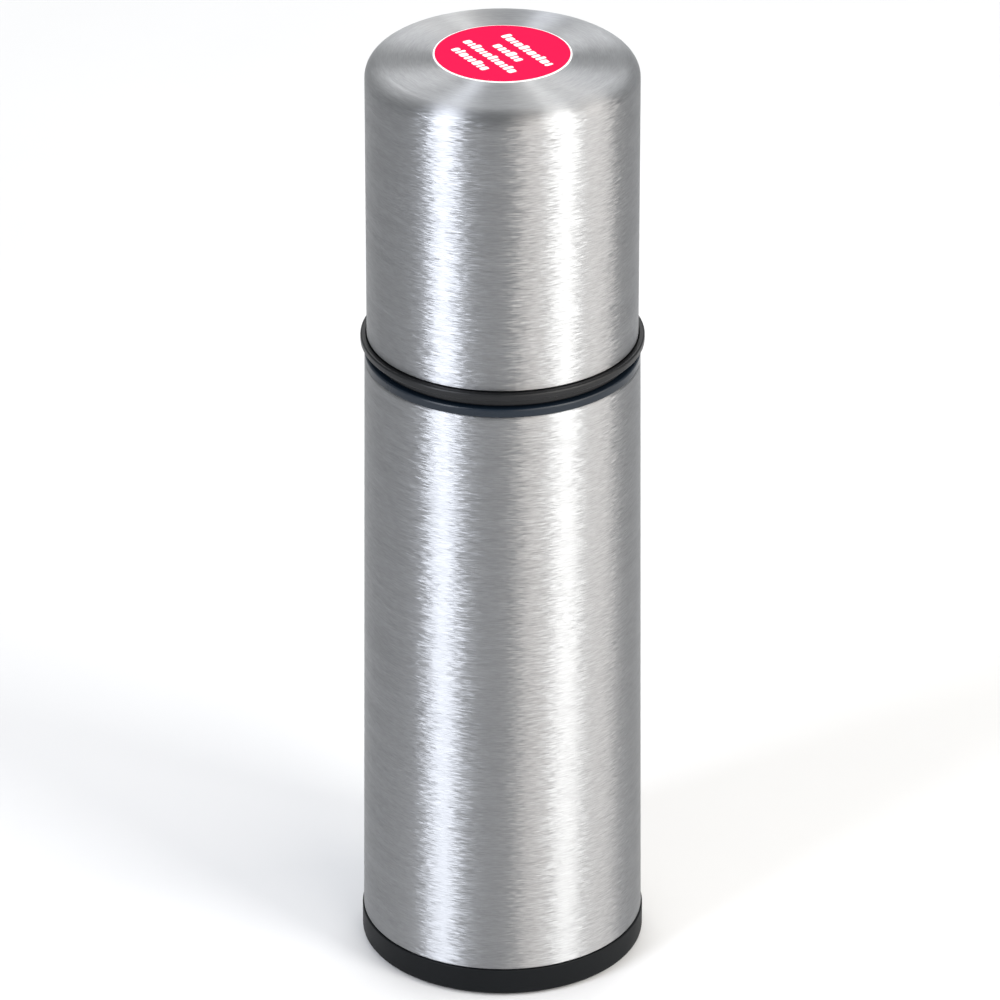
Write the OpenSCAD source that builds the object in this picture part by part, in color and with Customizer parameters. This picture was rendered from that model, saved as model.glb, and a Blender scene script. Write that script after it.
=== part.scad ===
// Vacuum flask, 0.5 litre, with a drinking cup screwed over a push-button pouring stopper.
// Millimetres. +Z is up, and the origin is on the ground, in the middle of the foot.

/* [Body] */
// Diameter of the steel body at its top edge
body_d = 70; // [56:0.5:84]
// How much wider the body is at its foot than at its top
body_swell = 2.7; // [0:0.1:4]
// Height of the steel body's top edge above the ground
body_h = 167.5; // [130:0.5:200]
// Wall of the two steel shells
steel_t = 0.5; // [0.4:0.05:0.7]
// Vacuum space between the shells, measured at the top
vacuum_gap = 2.4; // [1.8:0.1:3.2]
// Radius of the body's top edge
shell_corner = 1; // [0.8:0.1:1.6]
// Height of the inner vessel's sloping shoulder
shoulder_h = 9; // [7:0.5:12]

/* [Base] */
// Height of the base cup's top edge above the ground
base_h = 7.9; // [6.4:0.1:10]
// How far the base cup stands proud of the steel all round
base_proud = 0.35; // [0.2:0.05:1]
// Wall of the base cup
base_wall = 1.9; // [1.5:0.1:2.4]
// Radius of the base cup's bottom edge
base_corner = 1.2; // [0.8:0.1:1.6]
// How far the rubber foot stands below the base cup
pad_proud = 0.6; // [0.4:0.1:0.8]
// Thickness of the rubber foot
pad_t = 1.4; // [1.1:0.1:1.7]
// Width of the rubber foot's ring
pad_w = 8; // [6:0.5:10]

/* [Neck and collar] */
// Height of the mouth above the body's top edge
neck_h = 19.5; // [18.5:0.5:24]
// Space between the two steel necks
neck_gap = 0.9; // [0.7:0.1:1.2]
// Depth of the stopper's seat below the mouth
seat_depth = 16; // [15.5:0.5:19.5]
// How far the throat under the seat is narrower than the neck
seat_w = 2.6; // [2.2:0.1:3.2]
// How far the rolled mouth rim stands out from the neck
rim_w = 1; // [0.7:0.1:1.3]
// Thickness of the rolled mouth rim
rim_t = 0.7; // [0.6:0.05:0.9]
// Height of the collar's visible flange
collar_h = 2.3; // [1.7:0.1:2.6]
// Wall of the collar inside its thread
collar_wall = 2.4; // [2:0.1:3]
// Width of the sealing ring under the collar
collar_seal_w = 2.4; // [1.9:0.1:3]

/* [Cup] */
// Height of the steel cup
cup_h = 75.4; // [60:0.2:90]
// How far the cup's side stands in from the body's side
cup_inset = 0.6; // [0.5:0.1:1.5]
// Radius of the cup's top edge
cup_corner = 5; // [4.2:0.1:6.5]
// Wall of the cup's plastic liner
liner_t = 1.6; // [1.3:0.1:2]
// How far the liner's lip stands out beyond the body
lip_proud = 1; // [0.6:0.1:1.5]
// Thickness of the lip
lip_t = 1.9; // [1.5:0.1:2.4]
// Open groove between the collar and the lip
groove_h = 2.7; // [2.3:0.1:3.4]
// Space between the liner's top and the steel top
cup_air = 3.9; // [3.2:0.1:5]
// Diameter of the round label on top
label_d = 34.8; // [28:0.2:42]
// How far the label sits off the middle of the cup's top
label_shift = 2.6; // [0:0.1:5]
// Thickness of the label
label_t = 0.12; // [0.1:0.01:0.15]

/* [Cup thread] */
// Rise of the cup's thread in one turn
cup_lead = 5; // [4.2:0.1:6]
// Turns of the cup's thread
cup_turns = 1.2; // [1:0.1:1.5]
// Height of the cup's thread ridges
cup_ridge = 1.1; // [0.9:0.1:1.3]
// Clearance between the two sets of thread crests
crest_gap = 0.2; // [0.15:0.05:0.3]

/* [Stopper] */
// Rise of the stopper's thread in one turn
stopper_lead = 4; // [3.4:0.1:4.8]
// Turns of the stopper's thread
stopper_turns = 1.5; // [1.2:0.1:1.8]
// Height of the stopper's thread ridges
stopper_ridge = 1; // [0.8:0.1:1.2]
// Radial clearance of the stopper in the neck
stopper_gap = 0.3; // [0.2:0.05:0.35]
// Length of the plug below the seat
plug_h = 7.5; // [6.2:0.1:9]
// Wall of the stopper's mouldings
stopper_wall = 1.6; // [1.3:0.1:2]
// Height of the stopper's head above the mouth
head_h = 15; // [12.5:0.5:18]
// Wall of the stopper's head
head_wall = 2; // [1.7:0.1:2.4]
// Thickness of the gasket on the seat
gasket_t = 2; // [1.7:0.1:2.4]
// Radius of the pouring channel
channel_r = 6.5; // [5.5:0.1:7.8]

/* [Pouring valve] */
// Radius of the push button
button_r = 9.1; // [8.2:0.1:10.9]
// How far the button stands above the head
button_proud = 2.8; // [2.8:0.1:3.4]
// How far the button travels
button_travel = 2.5; // [2:0.1:2.6]
// Radius of the valve stem
stem_r = 2; // [1.7:0.1:2.4]
// Radius of the valve plate
valve_r = 9.8; // [9:0.1:11.5]
// Diameter of the spring's wire
wire_d = 0.8; // [0.6:0.05:1]
// Turns of the spring
spring_turns = 6; // [5:0.5:7]

/* [Hidden] */

// Small gaps that let one piece sit in or on another.
fit_gap = 0.1;        // pieces of one body that fit together
seat_gap = 0.2;       // faces of two bodies that rest on each other
slide_gap = 0.2;      // the button in its guide
overlap = 0.25;       // how deep a thread ridge is rooted in its wall

// Radii of the body, from the outside in.
body_r = body_d / 2;
foot_r = body_r + body_swell / 2;
base_r = foot_r + base_proud;
shell_foot_r = base_r - base_wall - fit_gap;
vessel_r = body_r - steel_t - vacuum_gap;

// Radii of the cup, the collar, the neck and the stopper, each worked out from the one outside it.
cup_r = body_r - cup_inset;
lip_r = body_r + lip_proud;
liner_r = cup_r - steel_t - fit_gap;
liner_bore = liner_r - liner_t;
skirt_r = liner_r - fit_gap;
collar_core = liner_bore - 2 * cup_ridge - crest_gap;
neck_r = collar_core - collar_wall - fit_gap;
rim_r = neck_r + rim_w;
bore_r = neck_r - 2 * steel_t - neck_gap;
throat_r = bore_r - seat_w;
stopper_crest = bore_r - stopper_gap;
stopper_core = bore_r - stopper_ridge - stopper_gap;
plug_r = throat_r - stopper_gap;
head_lap = 0.7;
head_r = rim_r + head_lap;

// Heights of the base.
pad_groove = pad_t - pad_proud;
floor_t = 1.2;
base_floor = pad_proud + pad_groove + floor_t;
cushion_t = 1;
shell_foot_z = base_floor + cushion_t + seat_gap;
seam_z = base_h + fit_gap;
end_flange = 3;
end_plate_z = shell_foot_z + end_flange;
inner_foot_z = end_plate_z + vacuum_gap + 0.8;
dome_h = 1.5;

// Heights of the neck, the collar and the cup.
collar_top = body_h + collar_h;
mouth_z = body_h + neck_h;
seat_z = mouth_z - seat_depth;
throat_h = 6.5;
throat_foot = seat_z - throat_h;
shoulder_z = throat_foot - shoulder_h;
lip_z = collar_top + groove_h;
liner_foot = collar_top + seat_gap;
cup_foot = lip_z + lip_t + seat_gap;
cup_top = cup_foot + cup_h;
liner_top = cup_top - steel_t - cup_air;

// Heights of the stopper.
gasket_z = seat_z + fit_gap;
stopper_shoulder = gasket_z + gasket_t + seat_gap;
plug_foot = seat_z - plug_h;
mouth_gap = 0.4;
flange_z = mouth_z + mouth_gap;
flange_t = 1.6;
head_top = mouth_z + head_h;
lower_cap_t = 1.9;
seat_rim = 0.7;
valve_top = plug_foot - lower_cap_t - seat_rim - fit_gap;
seal_t = 1;
disc_t = 1.7;
clip_t = 0.8;
disc_foot = valve_top - seal_t - disc_t;
stem_end = 0.7;
stem_foot = disc_foot - clip_t - stem_end;
hub_depth = 6;
hub_top = flange_z - hub_depth;
hub_t = 4;
boss_depth = 7;
boss_z = head_top - boss_depth;
button_depth = 7.7;
button_top = head_top + button_proud;
button_foot = head_top - button_depth;
guide_r = button_r + slide_gap;
spring_r = stem_r + fit_gap + wire_d;

// Rise along each thread before its ridge begins.
cup_thread_z = lip_z - seat_gap;
stopper_thread_z = stopper_shoulder + 1.3;

steel = "silver";
black = "#23262a";
dark = "#3a4248";
foam = "gainsboro";
rubber = "dimgray";

// ---- shapes that repeat ----

// Points along an arc from angle a0 to a1.
function arc(c, r, a0, a1, n = 6) =
    [for (i = [0:n]) let (a = a0 + (a1 - a0) * i / n) [c[0] + r * cos(a), c[1] + r * sin(a)]];

// Points along a smooth S from one radius and height to another, upright at both ends.
function ogee(from, to, n = 14) =
    [for (i = [0:n]) [from[0] + (to[0] - from[0]) * (1 - cos(180 * i / n)) / 2,
                      from[1] + (to[1] - from[1]) * i / n]];

module turned(points) {
    rotate_extrude($fn = 120) polygon(points);
}

module ring(r_in, r_out, z, h) {
    turned([[r_in, z], [r_out, z], [r_out, z + h], [r_in, z + h]]);
}

module disc(r, z, h) {
    translate([0, 0, z]) cylinder(r = r, h = h, $fn = 96);
}

function at(r, a, z) = [r * cos(a), r * sin(a), z];

// A right-hand thread ridge that rises from z0 by lead in each turn, and sinks into its wall at both ends.
module helix_ridge(root, crest, lead, turns, z0, root_w, crest_w) {
    steps = ceil(36 * turns);
    fade = 3;
    points = [for (i = [0:steps])
        let (a = 360 * turns * i / steps, z = z0 + lead * turns * i / steps,
             k = max(0.1, min(1, i / fade, (steps - i) / fade)), r = root + (crest - root) * k)
        each [at(root, a, z - root_w / 2), at(r, a, z - crest_w / 2),
              at(r, a, z + crest_w / 2), at(root, a, z + root_w / 2)]];
    sides = [for (i = [0:steps - 1], j = [0:3])
        let (p = 4 * i + j, q = 4 * i + (j + 1) % 4) each [[p, q, q + 4], [p, q + 4, p + 4]]];
    faces = concat([[3, 2, 1, 0]], sides, [[for (j = [0:3]) 4 * steps + j]]);
    polyhedron(points, crest > root ? faces : [for (f = faces) [for (i = [len(f) - 1:-1:0]) f[i]]]);
}

// A round wire wound into an open coil, with its ends closed flat.
module coil(r, wire_r, z0, z1, turns) {
    around = 8;
    steps = ceil(20 * turns);
    points = [for (i = [0:steps], j = [0:around - 1])
        let (a = 360 * turns * i / steps, b = 360 * j / around,
             z = z0 + wire_r + (z1 - z0 - 2 * wire_r) * i / steps)
        at(r + wire_r * cos(b), a, z + wire_r * sin(b))];
    sides = [for (i = [0:steps - 1], j = [0:around - 1])
        let (p = around * i + j, q = around * i + (j + 1) % around)
        each [[p, q + around, q], [p, p + around, q + around]]];
    faces = concat([[for (j = [0:around - 1]) j]], sides,
                   [[for (j = [around - 1:-1:0]) around * steps + j]]);
    polyhedron(points, faces);
}

// ---- the double-walled body ----

module outer_shell() {
    edge = 0.4;
    fillet = 1;
    color(steel) turned(concat(
        [[shell_foot_r, shell_foot_z], [shell_foot_r, seam_z], [foot_r - edge, seam_z]],
        [[foot_r, seam_z + edge]],
        arc([body_r - shell_corner, body_h - shell_corner], shell_corner, 0, 90),
        arc([neck_r + fillet, body_h + fillet], fillet, 270, 180),
        [[neck_r, mouth_z - rim_t], [neck_r - steel_t, mouth_z - rim_t]],
        [[neck_r - steel_t, body_h - steel_t]],
        arc([body_r - shell_corner, body_h - shell_corner], shell_corner - steel_t, 90, 0),
        [[foot_r - steel_t, seam_z + edge], [foot_r - edge - steel_t / 2, seam_z + steel_t]],
        [[shell_foot_r - steel_t, seam_z + steel_t], [shell_foot_r - steel_t, shell_foot_z]]));
}

module inner_vessel() {
    color(steel) union() {
        turned(concat(
            [[vessel_r, inner_foot_z]],
            ogee([vessel_r, shoulder_z], [throat_r + steel_t, throat_foot]),
            [[throat_r + steel_t, seat_z - steel_t], [bore_r + steel_t, seat_z - steel_t]],
            [[bore_r + steel_t, mouth_z - rim_t]],
            arc([rim_r - rim_t / 2, mouth_z - rim_t / 2], rim_t / 2, -90, 90, 8),
            arc([bore_r + rim_t / 2, mouth_z - rim_t / 2], rim_t / 2, 90, 180, 4),
            [[bore_r, seat_z], [throat_r, seat_z]],
            ogee([throat_r, throat_foot - steel_t], [vessel_r - steel_t, shoulder_z - steel_t]),
            [[vessel_r - steel_t, inner_foot_z]]));
        helix_ridge(bore_r + overlap, bore_r - stopper_ridge, stopper_lead, stopper_turns,
                    stopper_thread_z + stopper_lead / 2, 1.5, 0.7);
    }
}

// The vessel's bottom is a separate pressing with a turned-down flange, welded inside the tube.
module inner_bottom() {
    r = vessel_r - steel_t - fit_gap;
    flange = 3;
    color(steel) turned(concat(
        [[r, inner_foot_z], [r, inner_foot_z + flange]],
        [for (i = [8:-1:0]) [(r - 1) * i / 8, inner_foot_z + flange + 0.6 + dome_h * (1 - pow(i / 8, 2))]],
        [for (i = [0:8]) [(r - 1) * i / 8, inner_foot_z + flange + 0.1 + dome_h * (1 - pow(i / 8, 2))]],
        [[r - steel_t, inner_foot_z + flange - 0.4], [r - steel_t, inner_foot_z]]));
}

// The outer bottom closes the shell from below. Its dimple holds the plug that seals the vacuum.
dimple_r = 6;
dimple_h = 1.2;
module outer_bottom() {
    r = shell_foot_r - steel_t - fit_gap;
    hole_r = 1.2;
    color(steel) turned([
        [r, shell_foot_z + 0.1], [r, end_plate_z - 0.6], [r - 0.6, end_plate_z],
        [dimple_r + 1, end_plate_z], [dimple_r - 1, end_plate_z + dimple_h],
        [hole_r, end_plate_z + dimple_h], [hole_r, end_plate_z + dimple_h - steel_t],
        [dimple_r - 1.2, end_plate_z + dimple_h - steel_t], [dimple_r + 0.8, end_plate_z - steel_t],
        [r - 0.8, end_plate_z - steel_t], [r - steel_t, end_plate_z - 0.8],
        [r - steel_t, shell_foot_z + 0.1]]);
}

module vacuum_seal() {
    foot = end_plate_z + dimple_h - steel_t;
    color("darkgoldenrod") turned(concat(
        [[0, foot], [1.15, foot], [1.15, foot - 0.02]],
        arc([0, foot - 0.02], 2.6, 0, -90, 6)));
}

module radiation_foil() {
    gap = 0.15;
    foil_t = 0.12;
    color("#c98d5a") ring(vessel_r + gap, vessel_r + gap + foil_t,
                          inner_foot_z + 4, shoulder_z - inner_foot_z - 8);
}

// The getter soaks up stray gas. It hangs under the inner bottom in a spot-welded clip.
getter_r = 4;
getter_t = 0.9;
getter_z = inner_foot_z + 3 + dome_h - 0.6 - getter_t;
module getter_pellet() {
    color("dimgray") disc(getter_r, getter_z, getter_t);
}

module getter_clip() {
    strap_t = 0.25;
    strap_w = 3;
    reach = getter_r + 0.1;
    color(steel) union() {
        translate([-reach - strap_t, -strap_w / 2, getter_z - strap_t])
            cube([2 * (reach + strap_t), strap_w, strap_t]);
        for (side = [-1, 1]) {
            translate([side > 0 ? reach : -reach - strap_t, -strap_w / 2, getter_z - strap_t])
                cube([strap_t, strap_w, getter_t + strap_t]);
            translate([side > 0 ? reach : -reach - 2.5, -strap_w / 2, getter_z + getter_t - 0.05])
                cube([2.5, strap_w, strap_t]);
        }
    }
}

// ---- the base ----

pad_out = base_r - base_corner - 1.6;
module base_cup() {
    groove_in = pad_out - pad_w - fit_gap;
    groove_out = pad_out + fit_gap;
    rim_in = base_r - base_wall;
    color(black) turned(concat(
        [[0, pad_proud], [groove_in, pad_proud], [groove_in, pad_proud + pad_groove]],
        [[groove_out, pad_proud + pad_groove], [groove_out, pad_proud]],
        arc([base_r - base_corner, pad_proud + base_corner], base_corner, -90, 0),
        [[base_r, base_h - 0.2], [base_r - 0.2, base_h], [rim_in, base_h], [rim_in, base_floor + 0.4]],
        [[rim_in - 0.4, base_floor], [0, base_floor]]));
}

module base_cushion() {
    color(foam) disc(shell_foot_r - steel_t - 3, base_floor, cushion_t);
}

module base_pad() {
    color(rubber) ring(pad_out - pad_w, pad_out, 0, pad_t);
}

// ---- the collar on the neck ----

seal_in = neck_r + 1.4;
seal_depth = 1;
module neck_collar() {
    bore = neck_r + fit_gap;
    top = mouth_z - rim_t - seat_gap;
    chamfer = 0.5;
    color(dark) union() {
        turned([
            [bore + 1, body_h], [seal_in, body_h], [seal_in, body_h + seal_depth],
            [seal_in + collar_seal_w, body_h + seal_depth], [seal_in + collar_seal_w, body_h],
            [body_r, body_h], [body_r, collar_top - chamfer], [body_r - chamfer, collar_top],
            [collar_core, collar_top], [collar_core, top - chamfer], [collar_core - chamfer, top],
            [bore, top], [bore, body_h + 1]]);
        helix_ridge(collar_core - overlap, collar_core + cup_ridge, cup_lead, cup_turns,
                    cup_thread_z, 2, 0.9);
    }
}

module collar_seal() {
    color(rubber) ring(seal_in + fit_gap, seal_in + collar_seal_w - fit_gap, body_h, seal_depth);
}

// ---- the cup ----

module cup_shell() {
    r = cup_r - cup_corner;
    z = cup_top - cup_corner;
    color(steel) turned(concat(
        [[cup_r, cup_foot]], arc([r, z], cup_corner, 0, 90, 10), [[0, cup_top], [0, cup_top - steel_t]],
        arc([r, z], cup_corner - steel_t, 90, 0, 10), [[cup_r - steel_t, cup_foot]]));
}

module cup_liner() {
    corner = cup_corner - steel_t;
    r = liner_r - corner;
    z = liner_top - corner;
    edge = 0.5;
    color(black) union() {
        turned(concat(
            [[liner_bore + edge, liner_foot], [skirt_r - edge, liner_foot], [skirt_r, liner_foot + edge]],
            [[skirt_r, lip_z]],
            [[lip_r - edge, lip_z], [lip_r, lip_z + edge]],
            arc([lip_r - edge, lip_z + lip_t - edge], edge, 0, 90, 4),
            [[cup_r + 0.3, lip_z + lip_t], [cup_r, lip_z + lip_t - 0.3], [cup_r - 0.9, lip_z + lip_t - 0.3]],
            [[liner_r, lip_z + lip_t + 0.4]],
            arc([r, z], corner, 0, 90, 8), [[0, liner_top], [0, liner_top - liner_t]],
            arc([r, z], corner - liner_t, 90, 0, 8), [[liner_bore, liner_foot + edge]]));
        helix_ridge(liner_bore + overlap, liner_bore - cup_ridge, cup_lead, cup_turns,
                    cup_thread_z + cup_lead / 2, 2, 0.9);
    }
}

module cup_cushion() {
    color(foam) disc(cup_r - cup_corner - 5, liner_top + fit_gap, cup_air - 2 * fit_gap);
}

module cup_label() {
    color("crimson") translate([0, label_shift, 0]) disc(label_d / 2, cup_top, label_t);
}

// ---- the stopper ----

// The gasket is narrow enough to pass the thread in the neck.
module neck_gasket() {
    groove = 0.5;
    r_out = stopper_core;
    r_in = plug_r + fit_gap;
    mid = gasket_z + gasket_t / 2;
    color(rubber) turned([
        [r_in, gasket_z], [r_out - 0.4, gasket_z], [r_out, gasket_z + 0.4], [r_out - groove, mid],
        [r_out, gasket_z + gasket_t - 0.4], [r_out - 0.4, gasket_z + gasket_t], [r_in, gasket_z + gasket_t]]);
}

// The housing is two tubes under one flange. A ribbed hub in the inner tube guides the valve stem.
module stopper_housing() {
    flange_r = head_r - head_wall - fit_gap;
    tube_r = channel_r + stopper_wall;
    color(black) union() {
        turned([
            [channel_r, plug_foot], [tube_r, plug_foot], [tube_r, flange_z], [plug_r - stopper_wall, flange_z],
            [plug_r - stopper_wall, plug_foot], [plug_r, plug_foot], [plug_r, stopper_shoulder],
            [stopper_core, stopper_shoulder], [stopper_core, flange_z], [flange_r, flange_z],
            [flange_r, flange_z + flange_t], [channel_r, flange_z + flange_t]]);
        helix_ridge(stopper_core - overlap, stopper_crest, stopper_lead, stopper_turns,
                    stopper_thread_z, 1.5, 0.7);
        ring(stem_r + fit_gap, stem_r + 1.9, hub_top - hub_t, hub_t);
        for (a = [60, 180, 300])
            rotate(a) translate([stem_r + 1.5, -0.6, hub_top - hub_t])
                cube([channel_r - stem_r - 1, 1.2, hub_t]);
    }
}

module stopper_insulation() {
    r_in = channel_r + stopper_wall + fit_gap;
    r_out = plug_r - stopper_wall - fit_gap;
    foot = plug_foot + 0.4;
    color(foam) ring(r_in, r_out, foot, flange_z - foot - fit_gap);
}

module stopper_lower_cap() {
    z = plug_foot - lower_cap_t;
    color(black) turned([
        [channel_r, z - seat_rim], [channel_r + 1, z - seat_rim], [channel_r + 1.6, z],
        [plug_r - 1, z], [plug_r, z + 1], [plug_r, plug_foot - fit_gap / 2],
        [channel_r, plug_foot - fit_gap / 2]]);
}

// The head carries the finger grip, the guide of the button and a pouring window on each side.
module stopper_head() {
    top_t = 2;
    edge = 1.2;
    guide_foot = button_foot - 1.6;
    grips = 24;
    window_w = 12;
    window_h = 4.5;
    r_in = head_r - head_wall;
    color(black) difference() {
        turned(concat(
            [[r_in, flange_z], [head_r - 0.4, flange_z], [head_r, flange_z + 0.4]],
            arc([head_r - edge, head_top - edge], edge, 0, 90, 5),
            [[guide_r, head_top], [guide_r, guide_foot], [guide_r + 1.6, guide_foot]],
            [[guide_r + 1.6, head_top - top_t], [r_in, head_top - top_t]]));
        for (i = [0:grips - 1])
            rotate((i + 0.5) * 360 / grips) translate([head_r + 0.6, 0, flange_z + 7.5])
                cylinder(r = 1.5, h = head_h, $fn = 24);
        for (side = [-1, 1])
            translate([-window_w / 2, side > 0 ? r_in - 1 : -head_r - 1, flange_z + flange_t + 0.4])
                cube([window_w, head_wall + 2, window_h]);
    }
}

// ---- the pouring valve, which moves down with the button ----

oring_z = button_foot + 2.2;
oring_r = 0.7;
module pour_button() {
    wall = 2.2;
    top_t = 2;
    boss_r = stem_r + 2.2;
    edge = 0.8;
    dish = 0.6;
    color(dark) turned(concat(
        [[stem_r + 0.02, boss_z], [boss_r, boss_z], [boss_r, button_top - top_t]],
        [[button_r - wall, button_top - top_t], [button_r - wall, button_foot], [button_r, button_foot]],
        [[button_r, oring_z - oring_r], [button_r - 1.3, oring_z - oring_r]],
        [[button_r - 1.3, oring_z + oring_r], [button_r, oring_z + oring_r]],
        arc([button_r - edge, button_top - edge], edge, 0, 90, 5),
        [for (i = [0:6]) let (r = (button_r - 1.6) * (6 - i) / 6) [r, button_top - dish * (1 - pow(1 - i / 6, 2))]],
        [[0, boss_z + 6.5], [stem_r + 0.02, boss_z + 6.5]]));
}

module button_oring() {
    color(rubber) rotate_extrude($fn = 96)
        translate([guide_r - oring_r - 0.05, oring_z]) circle(r = oring_r - 0.05, $fn = 24);
}

module button_spring() {
    color(steel) coil(spring_r, wire_d / 2, hub_top + fit_gap, boss_z - fit_gap, spring_turns);
}

module valve_stem() {
    shoulder_t = 1;
    groove = 0.5;
    top = boss_z + 6.4;
    color(steel) turned([
        [0, stem_foot], [stem_r - 0.3, stem_foot], [stem_r, stem_foot + 0.3],
        [stem_r, disc_foot - clip_t], [stem_r - groove, disc_foot - clip_t], [stem_r - groove, disc_foot],
        [stem_r, disc_foot], [stem_r, valve_top], [stem_r + 1.2, valve_top],
        [stem_r + 1.2, valve_top + shoulder_t], [stem_r, valve_top + shoulder_t], [stem_r, top], [0, top]]);
}

module valve_disc() {
    color(black) ring(stem_r + 0.02, valve_r, disc_foot, disc_t);
}

module valve_seal() {
    color(rubber) ring(stem_r + 0.02, valve_r - 0.4, disc_foot + disc_t, seal_t);
}

// An open spring clip that snaps into the groove near the stem's end.
module valve_clip() {
    slot_w = 2 * (stem_r - 0.5) - 0.6;
    color(steel) difference() {
        ring(stem_r - 0.45, stem_r + 1.7, disc_foot - clip_t + 0.02, clip_t - 0.04);
        translate([0, -slot_w / 2, disc_foot - clip_t - 1]) cube([stem_r + 3, slot_w, clip_t + 2]);
    }
}

outer_shell();
inner_vessel();
inner_bottom();
outer_bottom();
vacuum_seal();
radiation_foil();
getter_pellet();
getter_clip();
base_cup();
base_cushion();
base_pad();
neck_collar();
collar_seal();
cup_shell();
cup_liner();
cup_cushion();
cup_label();
neck_gasket();
stopper_housing();
stopper_insulation();
stopper_lower_cap();
stopper_head();
pour_button();
button_oring();
button_spring();
valve_stem();
valve_disc();
valve_seal();
valve_clip();
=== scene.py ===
import bpy
import numpy as np
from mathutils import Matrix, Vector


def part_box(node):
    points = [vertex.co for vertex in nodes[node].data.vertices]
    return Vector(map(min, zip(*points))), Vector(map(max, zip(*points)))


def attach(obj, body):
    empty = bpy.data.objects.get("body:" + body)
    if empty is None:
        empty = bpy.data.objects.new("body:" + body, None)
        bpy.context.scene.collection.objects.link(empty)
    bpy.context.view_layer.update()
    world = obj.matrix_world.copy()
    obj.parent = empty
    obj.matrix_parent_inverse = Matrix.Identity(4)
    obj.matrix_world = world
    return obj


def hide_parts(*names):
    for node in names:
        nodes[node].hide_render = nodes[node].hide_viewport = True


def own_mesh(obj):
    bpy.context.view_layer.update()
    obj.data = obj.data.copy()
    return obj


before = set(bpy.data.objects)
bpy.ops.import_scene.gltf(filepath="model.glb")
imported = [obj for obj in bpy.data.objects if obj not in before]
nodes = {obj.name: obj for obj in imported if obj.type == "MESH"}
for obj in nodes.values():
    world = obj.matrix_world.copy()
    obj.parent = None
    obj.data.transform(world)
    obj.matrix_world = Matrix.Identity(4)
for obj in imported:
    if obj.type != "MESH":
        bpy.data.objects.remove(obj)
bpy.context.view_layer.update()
scene = bpy.context.scene

# ---- The place where the flask stands: a pale table top in a white studio, with two tall softboxes in
# ---- front, one each side, which draw the two bright upright bands on the steel.


def linear(hex_colour, level=1.0):
    """An sRGB hex colour as linear RGBA, times a level. A channel c becomes c / 12.92 below 0.04045, and otherwise
    ((c + 0.055) / 1.055) to the power 2.4."""
    c = np.array([int(hex_colour[i : i + 2], 16) for i in (1, 3, 5)]) / 255
    c = np.where(c <= 0.04045, c / 12.92, ((c + 0.055) / 1.055) ** 2.4)
    return (*(level * c).tolist(), 1.0)


def add(tree, kind, inputs=None, **settings):
    """Adds one shader node with its settings. An input is a value, a node (its first output) or (node, output)."""
    made = tree.nodes.new("ShaderNode" + kind)
    for key, value in settings.items():
        setattr(made, key, value)
    for key, value in (inputs or {}).items():
        if isinstance(value, bpy.types.Node):
            value = (value, 0)
        if isinstance(value, tuple) and isinstance(value[0], bpy.types.Node):
            tree.links.new(value[0].outputs[value[1]], made.inputs[key])
        else:
            made.inputs[key].default_value = value
    return made


# A Mix node's colours go in at sockets 6 and 7 and come out at 2. Its number sockets have the same names.
mix_a, mix_b, mixed = 6, 7, 2
mm_per_m = 1000


def blank_material(name):
    """A new material, its node tree, and the node that gives places on the object, in metres."""
    made = bpy.data.materials.new(name)
    made.use_nodes = True
    made.node_tree.nodes.clear()
    return made, made.node_tree, (add(made.node_tree, "TexCoord"), "Object")


def skin(name, points, faces):
    """A smooth-shaded piece from an array of points in millimetres and a list of faces."""
    mesh = bpy.data.meshes.new(name)
    mesh.from_pydata((np.asarray(points) / mm_per_m).tolist(), [], faces)
    mesh.validate()
    mesh.shade_smooth()
    piece = bpy.data.objects.new(name, mesh)
    scene.collection.objects.link(piece)
    return piece


# White laminate table top: a matt, slightly soft surface with a barely visible mottle, a hair below the foot.
table_half, table_drop = 4000, 0.05
table_points = np.array([[x, y, 0] for x, y in ((-1, -1), (1, -1), (1, 1), (-1, 1))]) * table_half
table = skin("table_top", table_points - [0, 0, table_drop], [[0, 1, 2, 3]])
laminate, tree, place = blank_material("white_laminate")
mottle = add(tree, "TexNoise", {"Vector": place, "Scale": 9.0, "Detail": 4.0})
tone = add(tree, "Mix", {"Factor": mottle, mix_a: linear("#E4E4E4"), mix_b: linear("#DEDEDF")}, data_type="RGBA")
shader = add(tree, "BsdfPrincipled", {"Base Color": (tone, mixed), "Roughness": 0.6})
add(tree, "OutputMaterial", {"Surface": shader})
table.data.materials.append(laminate)

# The room: dim at the horizon and below it, brightest a third to half way up, and dim again overhead. Each stop is
# the height of a direction, from 0 at the horizon to 1 straight up, and a linear brightness.
studio = bpy.data.worlds.new("studio")
studio.use_nodes = True
tree = studio.node_tree
tree.nodes.clear()
way = add(tree, "TexCoord")
height = add(tree, "SeparateXYZ", {0: (way, "Generated")})
walls = add(tree, "ValToRGB", {"Fac": (height, "Z")})
ramp = walls.color_ramp.elements
ramp[0].position, ramp[0].color = 0.0, (0.24, 0.25, 0.26, 1)
ramp[1].position, ramp[1].color = 1.0, (0.30, 0.31, 0.32, 1)
for position, level in ((0.30, 0.40), (0.48, 0.62), (0.68, 0.66), (0.86, 0.34)):
    ramp.new(position).color = (level * 0.97, level * 0.99, level, 1)
sky = add(tree, "Background", {"Color": walls, "Strength": 1.0})
add(tree, "OutputWorld", {"Surface": sky})
scene.world = studio
scene.view_settings.view_transform = "Standard"


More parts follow.
